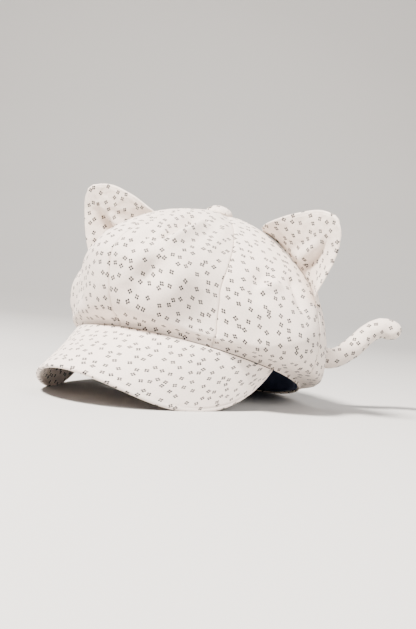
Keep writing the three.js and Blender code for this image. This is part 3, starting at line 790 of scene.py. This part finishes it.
def make_lining():
    turn, along = grid(round_turns(LINING_COLUMNS), np.linspace(0, 0.985, LINING_ROWS))
    base = crown_surface(turn, along)
    along_u, _, normal = crown_frame(turn, along)
    hang = 0.15 * smooth_step(0, 0.07, along) + 0.85 * smooth_step(0.07, 0.3, along)
    slack = LINING_SLACK * hang + 0.8 * smooth_step(0.3, 0.6, along)
    depth = CLOTH_THICKNESS + CLEARANCE + slack
    layers = []
    for extra in (0, LINING_THICKNESS):
        points = base - normal * (depth + extra)[..., None]
        points[..., 2] = np.maximum(points[..., 2], HEM_RISE)
        layers.append(points)
    uv = np.stack([turn * length(along_u), along * 200], -1)
    obj = slab("lining_cloth", layers[0], layers[1], uv, lining_cloth, closed=True)
    finish_piece(obj, "lining")


def make_sweatband():
    turn, share = grid(round_turns(SWEATBAND_COLUMNS), np.linspace(0, 1, SWEATBAND_ROWS))
    angle = np.radians(turn)
    back = np.maximum(0, -np.cos(angle))
    front_reach = column(SWEATBAND_SECTIONS["front"], share)
    reach = front_reach + (column(SWEATBAND_SECTIONS["back"], share) - front_reach) * back
    layers = []
    for extra in (0, SWEATBAND_THICKNESS):
        inset = CLOTH_THICKNESS + LINING_THICKNESS + 3 * CLEARANCE + extra
        layers.append(np.stack([
            (RIM_HALF_WIDTH - inset) * reach * np.sin(angle),
            -(RIM_HALF_DEPTH - inset) * reach * np.cos(angle),
            HEM_RISE + share * (SWEATBAND_HEIGHT - HEM_RISE),
        ], -1))
    uv = np.stack([turn * 1.6, share * SWEATBAND_HEIGHT], -1)
    obj = slab("sweatband_cloth", layers[0], layers[1], uv, band_cloth, closed=True)
    finish_piece(obj, "sweatband")


def ear_edge(name, up):
    """The ear's outline at each height, with the corners of its table rounded off."""
    total = 0
    spread = (-0.03, -0.015, 0, 0.015, 0.03)
    for shift in spread:
        height = np.clip(up + shift * smooth_step(0, 0.1, up), 0, 1)
        total = total + np.interp(height, EAR_OUTLINE["height"], EAR_OUTLINE[name])
    return total / len(spread)


def ear_dart(hand, across, up, half_base):
    """The ear's dart: its inner part laps over a hollow, and both fade out upwards."""
    from_dart = (across - (EAR_DART_FOOT + EAR_DART_SLANT * up)) * half_base
    fade = 1 - smooth_step(*EAR_DART_RAMP, up)
    reach = np.where(from_dart > 0, EAR_DART_REACH[hand], EAR_DART_INNER_REACH)
    hollow = EAR_DART_DEPTH[hand] * bell(from_dart, reach)
    hollow = hollow * smooth_step(0, 0.3, up) * (1 - smooth_step(*EAR_HOLLOW_RAMP, up))
    crease = EAR_CREASE_DEPTH * bell(from_dart - 1.2, EAR_CREASE_WIDTH)
    crease = crease * fade * smooth_step(0, 0.25, up)
    lap = EAR_LAP_HEIGHT * fade * smooth_step(-EAR_LAP_REACH, -1.0, from_dart)
    lap = lap * (1 - smooth_step(-0.6, 0.9, from_dart)) * smooth_step(0, 0.2, up)
    return lap - hollow - crease


def make_ear(hand):
    name = EAR_NAMES[hand]
    turn = EAR_TURN * hand
    inner = crown_surface(turn, EAR_BASE_HIGH)
    outer = crown_surface(turn, EAR_BASE_LOW)
    half_base = np.linalg.norm(outer - inner) / 2
    along = (outer - inner) / (2 * half_base)
    middle_along = np.array((EAR_BASE_HIGH + EAR_BASE_LOW) / 2)
    along_turn, _, normal = crown_frame(np.array(turn), middle_along)
    lean = math.radians(EAR_LEAN[hand])
    rise = normal * math.cos(lean) + np.array([0, -1, 0]) * math.sin(lean)
    rise = unit(rise - along * rise.dot(along))
    facing = np.cross(along, rise) * hand
    sway = math.radians(EAR_SWAY[hand])
    rise = rise * math.cos(sway) + along * math.sin(sway)

    across, up = grid(crowded(EAR_COLUMNS, EAR_CROWDING), eased(EAR_ROWS, EAR_EASING))
    share = (across + 1) / 2
    left, right = ear_edge("inner", up), ear_edge("outer", up)
    sideways = (left + (right - left) * share) * half_base
    lift = rise * (up * EAR_HEIGHT)[..., None]
    base_at = EAR_BASE_HIGH + (EAR_BASE_LOW - EAR_BASE_HIGH) * share
    bulge = crown_surface(turn, base_at) - (inner + (outer - inner) * share[..., None])
    middle = (inner + outer) / 2
    sheet = middle + along * sideways[..., None] + lift + bulge * ((1 - up) ** 2)[..., None]

    cup = EAR_CUP * ear_edge("cup", up) * across ** 2
    ripple = EAR_RIPPLE_HEIGHT * fractal(sheet, EAR_RIPPLE_SIZE, UNEVENNESS_SEEDS[name])
    ripple = ripple * smooth_step(0, 0.2, up)
    forward = cup + ear_dart(hand, across, up, half_base) + ripple
    half_width = np.maximum((right - left) * half_base / 2, 0.1)
    to_edge = np.minimum((1 - np.abs(across)) * half_width, (1 - up) * EAR_HEIGHT * 1.1)
    plump = np.sqrt(np.clip(1 - (1 - np.clip(to_edge / EAR_EDGE_ROLL, 0, 1)) ** 2, 0, 1))
    thick = (EAR_EDGE_THICKNESS + (EAR_THICKNESS - EAR_EDGE_THICKNESS) * (1 - across ** 2)) / 2
    groove = EAR_STITCH_GROOVE * bell(to_edge - EAR_STITCH_INSET, EAR_STITCH_GROOVE_WIDTH)
    thick = thick * (0.08 + 0.92 * plump) - groove
    settle = (1 - smooth_step(0, 0.1, up))[..., None]
    faces = []
    for face in (1, -1):
        points = sheet + facing * (forward + face * thick)[..., None]
        foot_turn = turn - hand * face * 0.5 * EAR_THICKNESS / length(along_turn)
        foot_turn = np.full(EAR_COLUMNS + 1, foot_turn)
        _, _, foot_normal = crown_frame(foot_turn, base_at[:, 0])
        foot = crown_surface(foot_turn, base_at[:, 0]) + foot_normal * (CLEARANCE - 0.5 * SEAM_DEPTH)
        faces.append(points * (1 - settle) + (foot[:, None, :] + lift) * settle)
    uv = np.stack([sideways, up * EAR_HEIGHT], -1) + CUT_FROM[name]
    obj = slab(name + "_cloth", faces[0], faces[1], uv, warm_cloth)
    finish_piece(obj, name)


def smooth_path(points, count):
    """Centripetal curve through the points, as that many evenly spaced places and directions."""
    points = [np.asarray(p, float) for p in points]
    points = [2 * points[0] - points[1]] + points + [2 * points[-1] - points[-2]]
    dense = []
    for k in range(1, len(points) - 2):
        p0, p1, p2, p3 = points[k - 1:k + 3]
        t0 = 0.0
        t1 = t0 + np.linalg.norm(p1 - p0) ** 0.5
        t2 = t1 + np.linalg.norm(p2 - p1) ** 0.5
        t3 = t2 + np.linalg.norm(p3 - p2) ** 0.5
        for t in np.linspace(t1, t2, 24, endpoint=False):
            a1 = (t1 - t) / (t1 - t0) * p0 + (t - t0) / (t1 - t0) * p1
            a2 = (t2 - t) / (t2 - t1) * p1 + (t - t1) / (t2 - t1) * p2
            a3 = (t3 - t) / (t3 - t2) * p2 + (t - t2) / (t3 - t2) * p3
            b1 = (t2 - t) / (t2 - t0) * a1 + (t - t0) / (t2 - t0) * a2
            b2 = (t3 - t) / (t3 - t1) * a2 + (t - t1) / (t3 - t1) * a3
            dense.append((t2 - t) / (t2 - t1) * b1 + (t - t1) / (t2 - t1) * b2)
    dense.append(points[-2])
    dense = np.array(dense)
    travelled = arc_along(dense, 0)
    wanted = np.linspace(0, travelled[-1], count)
    places = np.stack([np.interp(wanted, travelled, dense[:, k]) for k in range(3)], -1)
    return places, unit(np.gradient(places, axis=0)), travelled[-1]


def make_tail():
    heading = math.radians(TAIL_TURN)
    away = np.array([math.sin(heading), -math.cos(heading), 0])
    lift = np.array([0, 0, 1.0])
    root = crown_surface(TAIL_TURN, TAIL_ALONG)
    route = [root] + [root + away * out * TAIL_REACH + lift * up * TAIL_RISE for out, up in TAIL_ROUTE]
    places, tangents, total = smooth_path(route, TAIL_RINGS)
    travelled = np.linspace(0, total, TAIL_RINGS)
    angle = np.linspace(0, 2 * math.pi, TAIL_SIDES, endpoint=False)
    tip = np.clip((travelled - (total - TAIL_RADIUS)) / TAIL_RADIUS, 0, 1)
    radius = TAIL_RADIUS * np.sqrt(np.clip(1 - tip ** 2, 0.0004, 1))
    radius = radius * (1 + 0.02 * np.sin(travelled / 5.0) - 0.03 * bell(travelled - 6, 5))
    sideways = np.cross(lift, away)
    above = unit(np.cross(tangents, sideways))
    ring = (
        places[None]
        + sideways * (radius[None] * np.cos(angle)[:, None])[..., None]
        + above[None] * (radius[None] * np.sin(angle)[:, None])[..., None]
    )
    # The first rings flare onto the crown's surface, where the tail is sewn on.
    along_u, along_v, _ = crown_frame(np.array(TAIL_TURN), np.array(TAIL_ALONG))
    foot_turn = TAIL_TURN + TAIL_RADIUS * np.cos(angle) / length(along_u)
    foot_along = TAIL_ALONG + TAIL_RADIUS * np.sin(angle) / length(along_v)
    _, _, foot_normal = crown_frame(foot_turn, foot_along)
    foot = crown_surface(foot_turn, foot_along) + foot_normal * CLEARANCE
    settle = (1 - smooth_step(0, TAIL_ROOT_LENGTH, travelled))[None, :, None]
    ring = ring * (1 - settle) + foot[:, None, :] * settle
    rumple = TAIL_RUMPLE_HEIGHT * fractal(ring, TAIL_RUMPLE_SIZE, UNEVENNESS_SEEDS["tail"])[..., None]
    rumple = rumple * smooth_step(4, 14, travelled)[None, :, None]
    ring = ring + unit(ring - places[None]) * rumple * (1 - tip)[None, :, None]
    seam = TAIL_SEAM_DEPTH * bell(angle - TAIL_SEAM_ANGLE, TAIL_SEAM_WIDTH)[:, None, None]
    ring = ring - unit(ring - places[None]) * seam
    faces = grid_faces(TAIL_SIDES, TAIL_RINGS, closed=True, flip=True)
    first = [i * TAIL_RINGS for i in range(TAIL_SIDES)]
    last = [i * TAIL_RINGS + TAIL_RINGS - 1 for i in range(TAIL_SIDES)]
    faces += [tuple(first), tuple(last[::-1])]
    uv = np.stack(grid(angle * TAIL_RADIUS, travelled), -1) + CUT_FROM["tail"]
    obj = add_mesh("tail_cloth", ring.reshape(-1, 3), faces, uv, warm_cloth)
    finish_piece(obj, "tail")


def make_stage():
    """A paper sweep, turned to stand behind the cap as the camera sees it."""
    material, tree, shader = new_material("stage_paper")
    where = tree.nodes.new("ShaderNodeTexCoord").outputs["Object"]
    tone = math_node(tree, "MULTIPLY", noise_node(tree, where, 1.5), 0.3)
    tree.links.new(mix_colour(tree, tone, *STAGE_COLOURS), shader.inputs["Base Color"])
    shader.inputs["Roughness"].default_value = PAPER_ROUGHNESS
    turn = math.radians(CAMERA_AZIMUTH)
    across = Vector((math.cos(turn), math.sin(turn), 0))
    away = Vector((-math.sin(turn), math.cos(turn), 0))
    vertices = []
    for distance, height in STAGE_PROFILE:
        for k in range(STAGE_STEPS + 1):
            sideways = (k / STAGE_STEPS - 0.5) * STAGE_WIDTH
            vertices.append(across * sideways + away * distance + Vector((0, 0, height)))
    mesh = bpy.data.meshes.new("stage")
    mesh.from_pydata(vertices, [], grid_faces(len(STAGE_PROFILE), STAGE_STEPS + 1))
    mesh.polygons.foreach_set("use_smooth", [True] * len(mesh.polygons))
    mesh.materials.append(material)
    obj = bpy.data.objects.new("stage", mesh)
    bpy.context.scene.collection.objects.link(obj)


def towards(azimuth, elevation):
    """Unit direction from the cap to something at this azimuth and elevation, in degrees."""
    turn, rise = math.radians(azimuth), math.radians(elevation)
    return Vector((math.sin(turn) * math.cos(rise), -math.cos(turn) * math.cos(rise), math.sin(rise)))


def make_camera():
    turn, roll = math.radians(CAMERA_AZIMUTH), math.radians(CAMERA_ROLL)
    right = Vector((math.cos(turn), math.sin(turn), 0))
    back = towards(CAMERA_AZIMUTH, CAMERA_ELEVATION)
    up = back.cross(right)
    rolled_right = right * math.cos(roll) + up * math.sin(roll)
    rolled_up = up * math.cos(roll) - right * math.sin(roll)
    data = bpy.data.cameras.new("camera")
    data.lens = CAMERA_LENS
    data.sensor_width = CAMERA_SENSOR
    data.clip_start = 0.01
    camera = bpy.data.objects.new("camera", data)
    axes = Matrix((rolled_right, rolled_up, back)).transposed().to_4x4()
    camera.matrix_world = Matrix.Translation(CAMERA_PLACE) @ axes
    bpy.context.scene.collection.objects.link(camera)
    bpy.context.scene.camera = camera


def area_light(name, azimuth, elevation, distance, size, power, colour):
    direction = towards(azimuth, elevation)
    data = bpy.data.lights.new(name, "AREA")
    data.shape = "DISK"
    data.size = size
    data.energy = power
    data.color = colour
    obj = bpy.data.objects.new(name, data)
    obj.location = direction * distance + Vector((0, 0, LIT_HEIGHT))
    obj.rotation_euler = direction.to_track_quat("Z", "Y").to_euler()
    bpy.context.scene.collection.objects.link(obj)


def make_world():
    world = bpy.data.worlds.new("studio")
    world.use_nodes = True
    background = world.node_tree.nodes["Background"]
    background.inputs[0].default_value = (*WORLD_COLOUR, 1)
    background.inputs[1].default_value = WORLD_STRENGTH
    bpy.context.scene.world = world


crown_cloth = cloth_material("print_cotton_crown", *CROWN_COTTON)
brim_cloth = cloth_material("print_cotton_brim", *BRIM_COTTON)
warm_cloth = cloth_material("print_cotton_ears_tail", *EAR_AND_TAIL_COTTON)
lining_cloth = dark_material("lining_cloth", LINING_NAVY, LINING_TWILL)
band_cloth = dark_material("sweatband_cloth", SWEATBAND_NAVY, SWEATBAND_TWILL)

for gore_order in range(len(GORE_NAMES)):
    make_gore(gore_order)
make_button()
make_brim("brim_upper_cover")
make_brim("brim_under_cover")
make_lining()
make_sweatband()
make_ear(1)
make_ear(-1)
make_tail()
make_camera()
make_stage()
for light in LIGHTS:
    area_light(*light)
make_world()
